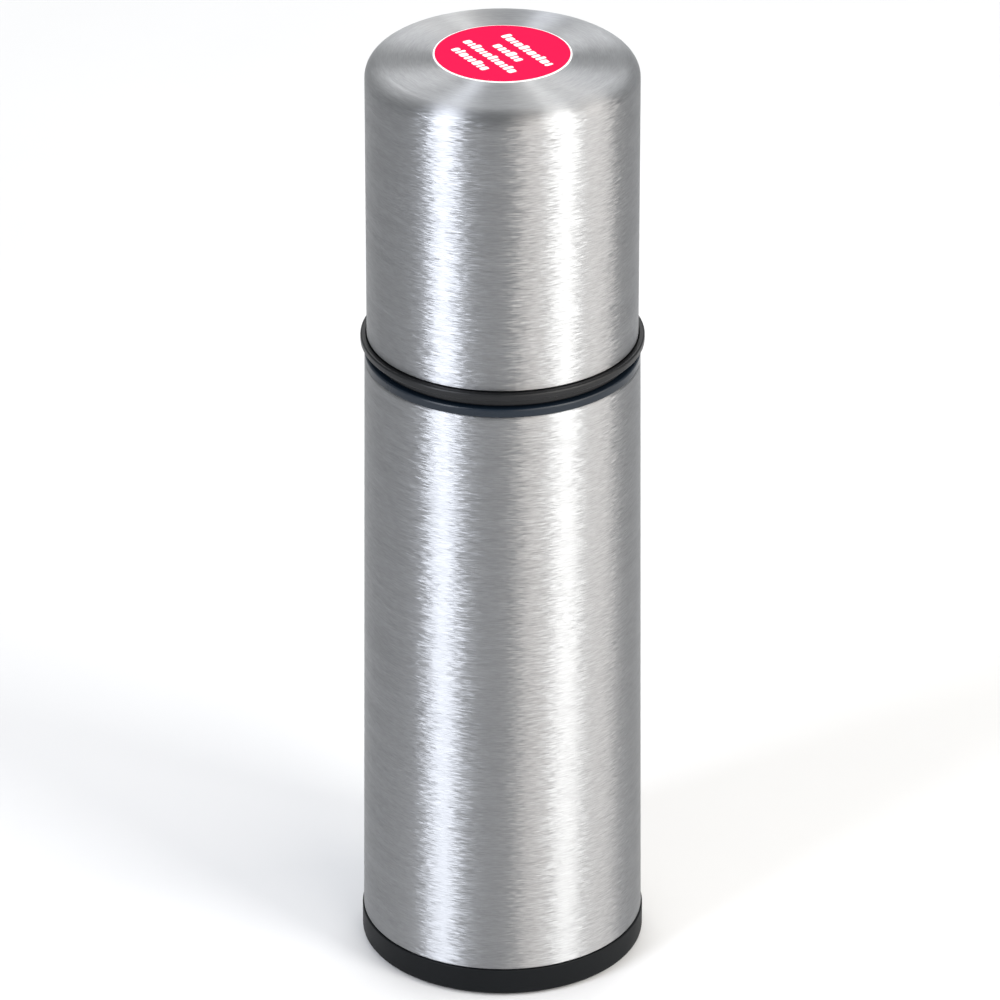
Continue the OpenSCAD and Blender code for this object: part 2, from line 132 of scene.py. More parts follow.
def softbox(name, azimuth, distance, height, width, tall, power, colour, dip=0):
    """A rectangular light facing the flask. Azimuth 0 is on the viewer's side (-Y) and turns towards +X; dip tilts it
    down. All angles are in degrees."""
    lamp = bpy.data.lights.new(name, "AREA")
    lamp.shape = "RECTANGLE"
    lamp.size, lamp.size_y = width, tall
    lamp.energy = power
    lamp.color = linear(colour)[:3]
    thing = bpy.data.objects.new(name, lamp)
    a = np.radians(azimuth)
    thing.location = (distance * np.sin(a), -distance * np.cos(a), height)
    thing.rotation_euler = (np.pi / 2 - np.radians(dip), 0, a)
    thing.visible_camera = False
    scene.collection.objects.link(thing)
    return thing


# Two tall boxes draw the bright bands. A fill and a side box lift the right flank, and the back light clears the
# far edge of the table.
softbox("left_softbox", -49, 1.3, 0.95, 0.5, 1.9, 26, "#F2F6FF")
softbox("right_softbox", 52, 1.3, 0.95, 0.52, 1.9, 25, "#FFFDF8")
softbox("right_fill", 24, 1.5, 0.66, 0.6, 1.2, 8, "#FFF6EC")
softbox("right_side", 84, 1.3, 0.66, 0.7, 1.2, 9, "#FFF8F0")
softbox("back_light", 180, 1.3, 1.35, 1.6, 0.6, 12, "#FFFFFF", dip=38)

# ---- The camera looks down on the flask from the front, from two metres away, through a long lens that the whole
# ---- flask just fills.

camera_distance = 2.0
camera_elevation = np.radians(27.55)
camera_target = np.array([-0.00064, 0, 0.12615])
lens = bpy.data.cameras.new("camera")
lens.lens = 281.4
lens.sensor_width = 36
camera = bpy.data.objects.new("camera", lens)
offset = np.array([0, -np.cos(camera_elevation), np.sin(camera_elevation)]) * camera_distance
camera.location = camera_target + offset
camera.rotation_euler = (np.pi / 2 - camera_elevation, 0, 0)
scene.collection.objects.link(camera)
scene.camera = camera

# ---- Body shell: a tube of 0.5 mm 18/8 stainless steel, drawn in to a shoulder and a neck at the top and
# ---- necked in at the foot, then brushed round and round on a lathe with an abrasive belt.


def mm_box(node):
    """Lowest and highest corner of a CAD node, in millimetres."""
    low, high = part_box(node)
    return np.array(low) * mm_per_m, np.array(high) * mm_per_m


def rounded(corners, steps=6):
    """An outline of (radius, height, fillet) corners, with each corner turned into the arc tangent to both its sides.
    The arc runs between the points fillet / tan(half angle) along the sides, and one more point lies just outside
    each end, so that the flats stay flat. A corner without a fillet, as on the axis, stays as it is."""
    longest_arc, longest_lead = 0.42, 0.15  # shares of a side
    p = np.array([c[:2] for c in corners], float)
    out = []
    for i, (point, (_, _, fillet)) in enumerate(zip(p, corners)):
        a, b = p[i - 1] - point, p[(i + 1) % len(p)] - point
        la, lb = np.linalg.norm(a), np.linalg.norm(b)
        if fillet == 0:
            out.append(point[None])
            continue
        a, b = a / la, b / lb
        half = np.arccos(np.clip(a @ b, -1, 1)) / 2
        reach = min(fillet / np.tan(half), longest_arc * la, longest_arc * lb)
        radius = reach * np.tan(half)
        centre = point + (a + b) / np.linalg.norm(a + b) * radius / np.sin(half)
        start, end = point + a * reach - centre, point + b * reach - centre
        turn = np.pi - 2 * half
        t = np.linspace(0, 1, steps + 1)[:, None]
        arc = centre + (np.sin((1 - t) * turn) * start + np.sin(t * turn) * end) / np.sin(turn)
        before, after = arc[0] + a * min(reach, longest_lead * la), arc[-1] + b * min(reach, longest_lead * lb)
        out += [before[None], arc, after[None]]
    return np.vstack(out)


def turned(name, outline, sides=288):
    """The surface x = r sin t, y = -r cos t, z = h of an outline of (r, h) in millimetres, for t once round.
    The outline is a closed loop, or runs from the axis to the axis, where its two ends become single poles."""
    outline = np.asarray(outline, float)
    area = np.sum(outline[:, 0] * np.roll(outline[:, 1], -1) - np.roll(outline[:, 0], -1) * outline[:, 1])
    if area < 0:
        outline = outline[::-1]
    t = np.linspace(0, 2 * np.pi, sides, endpoint=False)
    poles = np.flatnonzero(outline[:, 0] < 1e-6)
    if len(poles):
        outline = np.roll(outline, -poles[-1] if poles[-1] - poles[0] == 1 else 0, axis=0)
        body = outline[1:-1]
    else:
        body = outline
    r, h = body[:, :1], body[:, 1:]
    points = np.stack([r * np.sin(t), -r * np.cos(t), h + 0 * t], axis=2).reshape(-1, 3)
    i = np.arange(len(body) if not len(poles) else len(body) - 1)[:, None]
    j = np.arange(sides)[None]
    here, beside = i * sides + j, i * sides + (j + 1) % sides
    up = (i + 1) % len(body) * sides
    faces = np.stack([here, beside, up + (j + 1) % sides, up + j], axis=2).reshape(-1, 4).tolist()
    if len(poles):
        points = np.vstack([points, [[0, 0, outline[0, 1]], [0, 0, outline[-1, 1]]]])
        first, last = len(points) - 2, len(points) - 1
        j = j[0]
        faces += np.stack([first + 0 * j, (j + 1) % sides, j], axis=1).tolist()
        top = (len(body) - 1) * sides
        faces += np.stack([last + 0 * j, top + j, top + (j + 1) % sides], axis=1).tolist()
    return skin(name, points, faces)


def brushed_stainless(name, colour, roughness):
    """18/8 stainless sheet, brushed round the axis with a belt. The scratches are a few millimetres long and drawn
    0.25 mm apart, about four times as coarse as a belt's, so that they show. They spread a reflection across
    themselves but keep it narrow along themselves, and each leans a little its own way, so that the edges of a
    bright band break up into glints. The flat top is spun, and smoother."""
    made, tree, place = blank_material(name)
    xyz = add(tree, "SeparateXYZ", {0: place})
    flat = add(tree, "CombineXYZ", {"X": (xyz, "X"), "Y": (xyz, "Y")})
    radius = add(tree, "VectorMath", {0: flat}, operation="LENGTH")
    along = add(tree, "Math", {0: (xyz, "Z"), 1: (radius, "Value")}, operation="SUBTRACT")
    lathe = add(tree, "CombineXYZ", {"X": (xyz, "X"), "Y": (xyz, "Y"), "Z": along})

    def scratches(length, spacing, detail, start):
        """Noise drawn out round the axis, with its length and spacing in millimetres."""
        stretch = (mm_per_m / length, mm_per_m / length, mm_per_m / spacing)
        where = add(tree, "VectorMath", {0: lathe, 1: stretch, 2: (start, start, start)}, operation="MULTIPLY_ADD")
        return add(tree, "TexNoise", {"Vector": where, "Scale": 1.0, "Detail": detail, "Roughness": 0.6})

    hair = scratches(3.0, 0.25, 2.0, 0)
    glint = scratches(2.6, 0.26, 1.0, 31.7)
    pull = scratches(3.5, 0.4, 2.0, 7.3)
    band = scratches(30, 1.6, 3.0, 12.9)

    facing = add(tree, "NewGeometry")
    upright = add(tree, "SeparateXYZ", {0: (facing, "Normal")})
    upward = add(tree, "Math", {0: (upright, "Z")}, operation="ABSOLUTE")
    side = add(tree, "MapRange", {"Value": upward, "From Min": 0.5, "From Max": 0.98, "To Min": 1.0, "To Max": 0.15})

    shade = add(tree, "MapRange", {"Value": hair, "From Min": 0.3, "From Max": 0.7})
    tone = add(tree, "Mix", {"Factor": shade, mix_a: linear(colour, 0.88), mix_b: linear(colour, 1.08)},
               data_type="RGBA")
    rough = add(tree, "MapRange", {"Value": band, "From Min": 0.3, "From Max": 0.7,
                                   "To Min": roughness - 0.04, "To Max": roughness + 0.04})

    around = add(tree, "VectorMath", {0: flat, 1: (0, 0, 1)}, operation="CROSS_PRODUCT")
    round_way = add(tree, "VectorMath", {0: around}, operation="NORMALIZE")
    in_world = add(tree, "VectorTransform", {0: round_way}, vector_type="VECTOR",
                   convert_from="OBJECT", convert_to="WORLD")
    own = add(tree, "MapRange", {"Value": glint, "From Min": 0.2, "From Max": 0.8, "To Min": -0.10, "To Max": 0.10})
    shared = add(tree, "MapRange", {"Value": pull, "From Min": 0.2, "From Max": 0.8, "To Min": -0.04, "To Max": 0.04})
    both = add(tree, "Math", {0: own, 1: shared}, operation="ADD")
    lean = add(tree, "Math", {0: both, 1: side}, operation="MULTIPLY")
    leaned = add(tree, "VectorMath", {0: in_world, "Scale": lean}, operation="SCALE")
    tilted = add(tree, "VectorMath", {0: (facing, "Normal"), 1: leaned}, operation="ADD")
    normal = add(tree, "VectorMath", {0: tilted}, operation="NORMALIZE")
    relief = add(tree, "Bump", {"Height": hair, "Distance": 0.000008, "Strength": 1.0, "Normal": normal})
    tangent = add(tree, "Tangent", direction_type="RADIAL", axis="Z")
    shader = add(tree, "BsdfPrincipled", {
        "Base Color": (tone, mixed), "Metallic": 1.0, "Roughness": rough, "Anisotropic": 0.96,
        "Anisotropic Rotation": 0.25, "Tangent": tangent, "Normal": relief})
    add(tree, "OutputMaterial", {"Surface": shader})
    return made


foot_radius = mm_box("outer_shell")[1][0]
body_radius = mm_box("neck_collar")[1][0]
body_top = mm_box("neck_collar")[0][2]
shell_low, shell_high = mm_box("outer_shell")
base_top = mm_box("base_cup")[1][2]
steel = 0.5
neck_radius = 27.3
base_wall = 1.9
fit = 0.1
shell_foot_radius = mm_box("base_cup")[1][0] - base_wall - fit
seam = base_top + fit

body_shell = turned("body_shell", rounded([
    (shell_foot_radius, shell_low[2], 0.1), (shell_foot_radius, seam, 0.15), (foot_radius, seam, 0.45),
    (body_radius, body_top, 1.0), (neck_radius, body_top, 1.0), (neck_radius, shell_high[2], 0.1),
    (neck_radius - steel, shell_high[2], 0.1), (neck_radius - steel, body_top - steel, 0.6),
    (body_radius - steel, body_top - steel, 0.6), (foot_radius - steel, seam + steel, 0.3),
    (shell_foot_radius - steel, seam + steel, 0.1), (shell_foot_radius - steel, shell_low[2], 0.1)]))
brushed_steel = brushed_stainless("brushed_stainless", "#A2A3A5", 0.47)
body_shell.data.materials.append(brushed_steel)
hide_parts("outer_shell")
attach(body_shell, "flask")

# ---- Inner vessel and vacuum parts: the same steel, left bright from the press, with a rolled mouth and the
# ---- stopper's thread rolled into the neck. Copper foil, a getter and a bead of solder glass keep the vacuum.


def bare_metal(name, colour, roughness, crease=0.0, grain=0.4):
    """Bare drawn, rolled or sintered metal: fine rings round the axis, grain millimetres apart, cloudy patches in the
    gloss, and creases or pores of the given height in millimetres."""
    made, tree, place = blank_material(name)
    rings = add(tree, "VectorMath", {0: place, 1: (60, 60, mm_per_m / grain)}, operation="MULTIPLY")
    line = add(tree, "TexNoise", {"Vector": rings, "Scale": 1.0, "Detail": 3.0})
    cloud = add(tree, "TexNoise", {"Vector": place, "Scale": 90.0, "Detail": 4.0})
    fold = add(tree, "TexNoise", {"Vector": place, "Scale": 120 / grain, "Detail": 3.0})
    tone = add(tree, "Mix", {"Factor": cloud, mix_a: linear(colour, 0.86), mix_b: linear(colour)},
               data_type="RGBA")
    rough = add(tree, "MapRange", {"Value": cloud, "From Min": 0.3, "From Max": 0.7,
                                   "To Min": roughness - 0.05, "To Max": roughness + 0.05})
    lines = add(tree, "Bump", {"Height": line, "Distance": 0.000005, "Strength": 1.0})
    relief = add(tree, "Bump", {"Height": fold, "Distance": crease / mm_per_m, "Strength": 1.0, "Normal": lines})
    shader = add(tree, "BsdfPrincipled", {
        "Base Color": (tone, mixed), "Metallic": 1.0, "Roughness": rough, "Normal": relief})
    add(tree, "OutputMaterial", {"Surface": shader})
    return made


def dressed(material, *names):
    """Puts a material on CAD nodes, and leaves their shapes as they are."""
    for name in names:
        for slot in nodes[name].material_slots:
            slot.material = material


def swept(name, points, flip=False):
    """A closed tube through a grid of points, a row for each section along it, with a polygon at each end. The
    sections run so that the faces look outwards; flip turns the faces over where they run the other way."""
    rows, around = points.shape[:2]
    i, j = np.arange(rows - 1)[:, None], np.arange(around)[None]
    beside = (j + 1) % around
    loop = np.stack([i * around + j, (i + 1) * around + j, (i + 1) * around + beside, i * around + beside], axis=2)
    ends = [list(range(around)), list(range(rows * around - 1, (rows - 1) * around - 1, -1))]
    faces = loop.reshape(-1, 4).tolist() + ends
    if flip:
        faces = [face[::-1] for face in faces]
    return skin(name, points.reshape(-1, 3), faces)


def ridge(name, root, crest, lead, turns, foot, root_width, crest_width):
    """A right-hand thread ridge. Its section, a rounded trapezium, is carried along the helix r, angle a and height
    foot + lead a / 2 pi, and sinks into the wall over the first and last 30 degrees."""
    steps_a_turn, run_out, least = 120, np.radians(30), 0.02
    a = np.linspace(0, 2 * np.pi * turns, int(steps_a_turn * turns) + 1)
    grown = np.clip(np.minimum(a, a[-1] - a) / run_out, least, 1)[:, None]
    s = np.linspace(-1, 1, 13)[None]
    bulge = np.clip((1 - np.abs(s)) / (1 - crest_width / root_width), 0, 1)
    bulge = bulge * bulge * (3 - 2 * bulge)
    r = root + (crest - root) * bulge * grown
    z = foot + lead * a[:, None] / (2 * np.pi) + s * root_width / 2
    points = np.stack([r * np.cos(a)[:, None], r * np.sin(a)[:, None], z + 0 * r], axis=2)
    return swept(name, points, flip=crest < root)


def joined(name, pieces):
    """Several pieces made one object."""
    with bpy.context.temp_override(active_object=pieces[0], selected_editable_objects=pieces):
        bpy.ops.object.join()
    pieces[0].name = pieces[0].data.name = name
    return pieces[0]


vessel_low, vessel_high = mm_box("inner_vessel")
vessel_radius, mouth = vessel_high[0], vessel_high[2]
rim_radius, bore, throat = 28.3, 25.4, 22.8
rim_thickness = 0.7
seat = mouth - 16
throat_foot, shoulder = seat - 6.5, seat - 15.5
gasket_top = mm_box("neck_gasket")[1][2]
seat_gap = 0.2
stopper_lead, stopper_turns = 4, 1.5
stopper_ridge, stopper_ridge_sink = 1, 0.2
stopper_ridge_root, stopper_ridge_crest = 1.5, 0.7
plug_thread_foot = gasket_top + seat_gap + 1.3
rim_foot = mouth - rim_thickness
vessel_wall = turned("vessel_wall", rounded([
    (vessel_radius, vessel_low[2], 0.1), (vessel_radius, shoulder + 2.5, 4), (throat + steel, throat_foot - 2, 4),
    (throat + steel, seat - steel, 0.4), (bore + steel, seat - steel, 0.8), (bore + steel, rim_foot, 0.5),
    (rim_radius, rim_foot, 0.34), (rim_radius, mouth, 0.34), (bore, mouth, 0.6), (bore, seat, 0.4),
    (throat, seat, 0.8), (throat, throat_foot - 2, 4), (vessel_radius - steel, shoulder + 2.2, 4),
    (vessel_radius - steel, vessel_low[2], 0.1)]))
neck_thread = ridge("neck_thread", bore + stopper_ridge_sink, bore - stopper_ridge, stopper_lead, stopper_turns,
                    plug_thread_foot + stopper_lead / 2, stopper_ridge_root, stopper_ridge_crest)
vessel = joined("inner_vessel_skin", [vessel_wall, neck_thread])
bright_steel = bare_metal("bright_stainless", "#BDBEBF", 0.24)
vessel.data.materials.append(bright_steel)
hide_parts("inner_vessel")
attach(vessel, "flask")
dressed(bright_steel, "inner_bottom", "outer_bottom")
dressed(bare_metal("copper_foil", "#D9906E", 0.2, crease=0.06, grain=0.8), "radiation_foil")
dressed(bare_metal("sintered_getter", "#6E6A66", 0.7, crease=0.03, grain=0.12), "getter_pellet")
spring_steel = bare_metal("spring_steel", "#A9AAAC", 0.3, grain=0.15)
dressed(spring_steel, "getter_clip")


def clear_bead(name, colour, roughness, body, mottle):
    """Solder glass or silicone: an even tint with faint cloudy streaks, light scattered body millimetres deep, and a
    soft skin with a mottle of the given spacing in millimetres."""
    made, tree, place = blank_material(name)
    cloud = add(tree, "TexNoise", {"Vector": place, "Scale": mm_per_m / mottle, "Detail": 3.0})
    tone = add(tree, "Mix", {"Factor": cloud, mix_a: linear(colour, 0.85), mix_b: linear(colour)}, data_type="RGBA")
    relief = add(tree, "Bump", {"Height": cloud, "Distance": 0.00001, "Strength": 1.0})
    shader = add(tree, "BsdfPrincipled", {
        "Base Color": (tone, mixed), "Roughness": roughness, "IOR": 1.43, "Subsurface Weight": 0.25,
        "Subsurface Scale": body / mm_per_m, "Normal": relief})
    add(tree, "OutputMaterial", {"Surface": shader})
    return made


dressed(clear_bead("solder_glass", "#4F5A4C", 0.12, 0.3, 3), "vacuum_seal")

# ---- Base cup: black polypropylene, moulded with a fine spark-eroded grain, and pressed over the foot of
# ---- the shell. It stands a little proud of the steel all round.


def moulded(name, colour, roughness, grain, depth, gloss):
    """Injection-moulded plastic: an even colour, and a fine random grain from the spark-eroded tool. Grain is its
    spacing in millimetres, depth its height in micrometres, and gloss its specular level."""
    made, tree, place = blank_material(name)
    pits = add(tree, "TexNoise", {"Vector": place, "Scale": mm_per_m / grain, "Detail": 2.0})
    flow = add(tree, "TexNoise", {"Vector": place, "Scale": 45.0, "Detail": 3.0})
    tone = add(tree, "Mix", {"Factor": flow, mix_a: linear(colour, 0.85), mix_b: linear(colour, 1.15)},
               data_type="RGBA")
    rough = add(tree, "MapRange", {"Value": flow, "From Min": 0.3, "From Max": 0.7,
                                   "To Min": roughness - 0.05, "To Max": roughness + 0.05})
    relief = add(tree, "Bump", {"Height": pits, "Distance": depth * 1e-6, "Strength": 1.0})
    shader = add(tree, "BsdfPrincipled", {
        "Base Color": (tone, mixed), "Roughness": rough, "IOR": 1.49, "Specular IOR Level": gloss, "Normal": relief})
    add(tree, "OutputMaterial", {"Surface": shader})
    return made


base_low, base_high = mm_box("base_cup")
base_radius = base_high[0]
base_floor = 2.6
pad_low, pad_high = mm_box("base_pad")
pad_width = 8
pad_out, pad_in = pad_high[0], pad_high[0] - pad_width
groove_top = pad_high[2]
base = turned("base_cup_skin", rounded([
    (0, base_low[2], 0), (pad_in - fit, base_low[2], 0.15), (pad_in - fit, groove_top, 0.1),
    (pad_out + fit, groove_top, 0.1), (pad_out + fit, base_low[2], 0.15), (base_radius, base_low[2], 1.2),
    (base_radius, base_high[2], 0.25), (base_radius - base_wall, base_high[2], 0.2),
    (base_radius - base_wall, base_floor, 0.4), (0, base_floor, 0)]))
black_plastic = moulded("black_polypropylene", "#0E1012", 0.5, 0.25, 6, 0.1)
base.data.materials.append(black_plastic)
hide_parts("base_cup")
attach(base, "flask")

# ---- Foot: a ring of dark grey rubber in a groove under the base cup, and a disc of foam inside, which keeps the
# ---- steel bottom from ringing.

pad = turned("base_pad_skin", rounded([
    (pad_in, pad_low[2], 0.35), (pad_out, pad_low[2], 0.35), (pad_out, pad_high[2], 0.1),
    (pad_in, pad_high[2], 0.1)]))
pad.data.materials.append(moulded("foot_rubber", "#26282A", 0.75, 0.5, 25, 0.3))
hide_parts("base_pad")
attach(pad, "flask")


def foamed(name, colour, cell):
    """Closed-cell foam: round cells, cell millimetres across, that dent its skin, each of its own shade."""
    made, tree, place = blank_material(name)
    cells = add(tree, "TexVoronoi", {"Vector": place, "Scale": mm_per_m / cell})
    tone = add(tree, "Mix", {"Factor": (cells, "Distance"), mix_a: linear(colour), mix_b: linear(colour, 0.7)},
               data_type="RGBA")
    relief = add(tree, "Bump", {"Height": (cells, "Distance"), "Distance": 0.0001, "Strength": 1.0})
    shader = add(tree, "BsdfPrincipled", {"Base Color": (tone, mixed), "Roughness": 0.9, "Normal": relief})
    add(tree, "OutputMaterial", {"Surface": shader})
    return made


grey_foam = foamed("grey_foam", "#C9C9C4", 0.5)
dressed(grey_foam, "base_cushion")

# ---- Collar: a dark blue-grey polypropylene ring on the steel neck. Its flange shows above the body, and the
# ---- cup's thread is moulded on its tube.

collar_low, collar_high = mm_box("neck_collar")
flange_height, seam_height = 2.3, 2.7
collar_top = collar_low[2] + flange_height
collar_core = 29.8
cup_lead, cup_turns, cup_ridge, ridge_sink = 5, 1.2, 1.1, 0.25
cup_ridge_root, cup_ridge_crest = 2, 0.9
thread_foot = collar_top + seam_height - seat_gap
collar_tube = turned("collar_tube", rounded([
    (neck_radius + fit, body_top, 0.9), (body_radius, body_top, 0.15), (body_radius, collar_top, 0.55),
    (collar_core, collar_top, 0.3), (collar_core, collar_high[2], 0.5),
    (neck_radius + fit, collar_high[2], 0.15)]))
collar_thread = ridge("collar_thread", collar_core - ridge_sink, collar_core + cup_ridge, cup_lead, cup_turns,
                      thread_foot, cup_ridge_root, cup_ridge_crest)
collar = joined("collar", [collar_tube, collar_thread])
collar_plastic = moulded("blue_grey_polypropylene", "#0C1620", 0.30, 0.3, 4, 0.32)
collar.data.materials.append(collar_plastic)
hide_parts("neck_collar")
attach(collar, "flask")

# ---- Collar seal and neck gasket: moulded rings of milky silicone. One is squeezed under the collar's flange, and
# ---- the other between the stopper and its seat in the neck.

silicone = clear_bead("milky_silicone", "#D8D8D2", 0.42, 0.8, 1.2)
dressed(silicone, "collar_seal", "neck_gasket")

# ---- Stopper: black polypropylene in three mouldings. The housing carries the thread, the lower cap closes it over
# ---- its foam filling, and the head has 24 finger flutes and a pouring window on each side.

head_low, head_high = mm_box("stopper_head")
head_radius, head_wall = head_high[0], 2.0
flange_z, head_top = head_low[2], head_high[2]
button_low, button_high = mm_box("pour_button")
button_radius = button_high[0]
guide, guide_wall = button_radius + 0.2, 1.6
guide_foot = button_low[2] - 1.6
channel, stopper_wall, flange = 6.5, 1.6, 1.6
core, crest = bore - 1.3, bore - 0.3
plug, plug_foot = throat - 0.3, seat - 7.5
plug_shoulder = gasket_top + seat_gap
housing_flange = head_radius - head_wall - fit
housing_wall = turned("housing_wall", rounded([
    (channel, plug_foot, 0.2), (channel + stopper_wall, plug_foot, 0.2), (channel + stopper_wall, flange_z, 0.4),
    (plug - stopper_wall, flange_z, 0.4), (plug - stopper_wall, plug_foot, 0.2), (plug, plug_foot, 0.2),
    (plug, plug_shoulder, 0.3), (core, plug_shoulder, 0.3), (core, flange_z, 0.4), (housing_flange, flange_z, 0.3),
    (housing_flange, flange_z + flange, 0.2), (channel, flange_z + flange, 0.3)]))
plug_thread = ridge("plug_thread", core - stopper_ridge_sink, crest, stopper_lead, stopper_turns,
                    plug_thread_foot, stopper_ridge_root, stopper_ridge_crest)
hub_top, hub_height, hub_bore, hub_radius = flange_z - 6, 4, 2.1, 3.9
hub_foot = hub_top - hub_height
hub = turned("stem_hub", rounded([
    (hub_bore, hub_foot, 0.2), (hub_radius, hub_foot, 0.3), (hub_radius, hub_top, 0.3), (hub_bore, hub_top, 0.2)]),
    sides=96)
spoke_half, sunk = 0.6, 0.4
spoke_plan = ((hub_radius - sunk, -spoke_half), (channel + sunk, -spoke_half), (channel + sunk, spoke_half),
              (hub_radius - sunk, spoke_half))
spoke_faces = [[0, 3, 2, 1], [4, 5, 6, 7], [0, 1, 5, 4], [1, 2, 6, 5], [2, 3, 7, 6], [3, 0, 4, 7]]
spokes = []
for turn in np.radians((60, 180, 300)):
    out, side = np.array([np.cos(turn), np.sin(turn), 0]), np.array([-np.sin(turn), np.cos(turn), 0])
    corners = [out * r + side * w + [0, 0, z] for z in (hub_foot, hub_top) for r, w in spoke_plan]
    spoke = skin("spoke", corners, spoke_faces)
    spoke.data.shade_flat()
    spokes.append(spoke)
housing = joined("stopper_housing_skin", [housing_wall, plug_thread, hub, *spokes])
housing.data.materials.append(black_plastic)
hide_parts("stopper_housing")
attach(housing, "stopper")


def fluted_head(name, grips, cutter, stand_off, flute_foot, window_width, window_low, window_high):
    """The stopper's head: an outline turned round, with round-bottomed flutes and two windows on -Y and +Y. At angle
    a from a flute's middle the wall is at (R + s) cos a less the root of c squared less (R + s) squared times sin
    squared a, for wall radius R, stand-off s and cutter radius c. In a window the outer and inner walls' faces are
    left out and its four sides put in."""
    sides, edge = 576, 1.2
    t = np.linspace(0, 2 * np.pi, sides, endpoint=False)
    inner = head_radius - head_wall
    ceiling = head_top - head_wall
    fluted_heights = np.arange(flute_foot - 0.3, head_top - 1.4, 0.4)
    heights = np.concatenate([[flange_z + 0.5, window_low, window_high], fluted_heights])
    outer_wall = np.c_[0 * heights + head_radius, heights]
    k = np.linspace(0, np.pi / 2, 9)[:, None]
    arc = np.hstack([head_radius - edge + edge * np.cos(k), head_top - edge + edge * np.sin(k)])
    ring = np.vstack([
        [[inner, flange_z], [head_radius - 0.4, flange_z], [head_radius - 0.1, flange_z + 0.12]], outer_wall, arc,
        [[guide + 0.3, head_top], [guide, head_top - 0.3], [guide, guide_foot], [guide + guide_wall, guide_foot],
         [guide + guide_wall, ceiling], [inner, ceiling], [inner, window_high], [inner, window_low]]])
    wall = np.abs(ring[:, 0] - head_radius) < 1e-6
    r = np.repeat(ring[:, :1], sides, axis=1)
    a = ((t * grips / (2 * np.pi) + 0.5) % 1 - 0.5) * 2 * np.pi / grips
    far = (head_radius + stand_off) * np.sin(a)
    cut = (head_radius + stand_off) * np.cos(a) - np.sqrt(np.maximum(cutter**2 - far**2, 0))
    cut = np.where(np.abs(far) < cutter, cut, head_radius)
    in_flute = (ring[:, 1] > flute_foot) & (ring[:, 0] > guide + 2) & (ring[:, 0] > inner + 0.5)
    r[in_flute] = np.minimum(r[in_flute], cut[None])
    z = np.repeat(ring[:, 1:], sides, axis=1)
    points = np.stack([r * np.sin(t), -r * np.cos(t), z], axis=2).reshape(-1, 3)
    rows = len(ring)
    i, j = np.arange(rows)[:, None], np.arange(sides)[None]
    ahead, up = (j + 1) % sides, (i + 1) % rows
    quads = np.stack([i * sides + j, i * sides + ahead, up * sides + ahead, up * sides + j], axis=2)
    middle = t + np.pi / sides
    open_here = head_radius * np.abs(np.sin(middle)) < window_width / 2
    low_row = int(np.flatnonzero(wall & (np.abs(ring[:, 1] - window_low) < 1e-6))[0])
    inside_row = int(np.flatnonzero(~wall & (np.abs(ring[:, 1] - window_high) < 1e-6))[0])
    keep = np.ones((rows, sides), bool)
    keep[low_row, open_here] = False
    keep[inside_row, open_here] = False
    n = np.flatnonzero(open_here)
    m = (n + 1) % sides
    first = np.flatnonzero(open_here & ~np.roll(open_here, 1))
    past = (np.flatnonzero(open_here & ~np.roll(open_here, -1)) + 1) % sides
    out_low, out_high = low_row * sides, (low_row + 1) * sides
    in_high, in_low = inside_row * sides, (inside_row + 1) * sides
    window_sides = [
        [out_low + n, out_low + m, in_low + m, in_low + n], [out_high + m, out_high + n, in_high + n, in_high + m],
        [out_low + first, in_low + first, in_high + first, out_high + first],
        [out_high + past, in_high + past, in_low + past, out_low + past]]
    faces = np.vstack([quads[keep], *(np.stack(side, axis=1) for side in window_sides)])
    return skin(name, points, faces.tolist())


window_foot, window_height = flange_z + flange + 0.4, 4.5
head = fluted_head("stopper_head_skin", grips=24, cutter=1.5, stand_off=0.6, flute_foot=flange_z + 7.5,
                   window_width=12, window_low=window_foot, window_high=window_foot + window_height)
head.data.set_sharp_from_angle(angle=np.radians(50))
head.data.materials.append(black_plastic)
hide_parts("stopper_head")
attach(head, "stopper")
dressed(black_plastic, "stopper_lower_cap")
dressed(grey_foam, "stopper_insulation")

# ---- Button spring: six coils of 0.8 mm spring wire between the stopper's hub and the button.


def coiled(name, radius, wire, foot, top, turns):
    """A round wire along the helix x = radius cos a, y = radius sin a, which rises evenly so that the wire's skin
    touches foot and top. The section stands off it by wire / 2 times cos b outwards and sin b upwards."""
    steps_a_turn = 48
    a = np.linspace(0, 2 * np.pi * turns, steps_a_turn * turns + 1)[:, None]
    b = np.linspace(0, 2 * np.pi, 16, endpoint=False)[None]
    r = radius + wire / 2 * np.cos(b) + 0 * a
    rise = top - foot - wire
    z = foot + wire / 2 + rise * a / a[-1] + wire / 2 * np.sin(b)
    return swept(name, np.stack([r * np.cos(a), r * np.sin(a), z], axis=2))


spring_low, spring_high = mm_box("button_spring")
wire, press = 0.8, 2.5
spring = coiled("button_spring_coil", spring_high[0] - wire / 2, wire, spring_low[2], spring_high[2], 6)
spring.data.materials.append(spring_steel)
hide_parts("button_spring")
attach(spring, "stopper")
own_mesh(spring)

# ---- Pouring valve: a grey button with a dished top, on a steel stem with the valve disc at its foot. Pressing it
# ---- lifts the silicone seal off its seat.

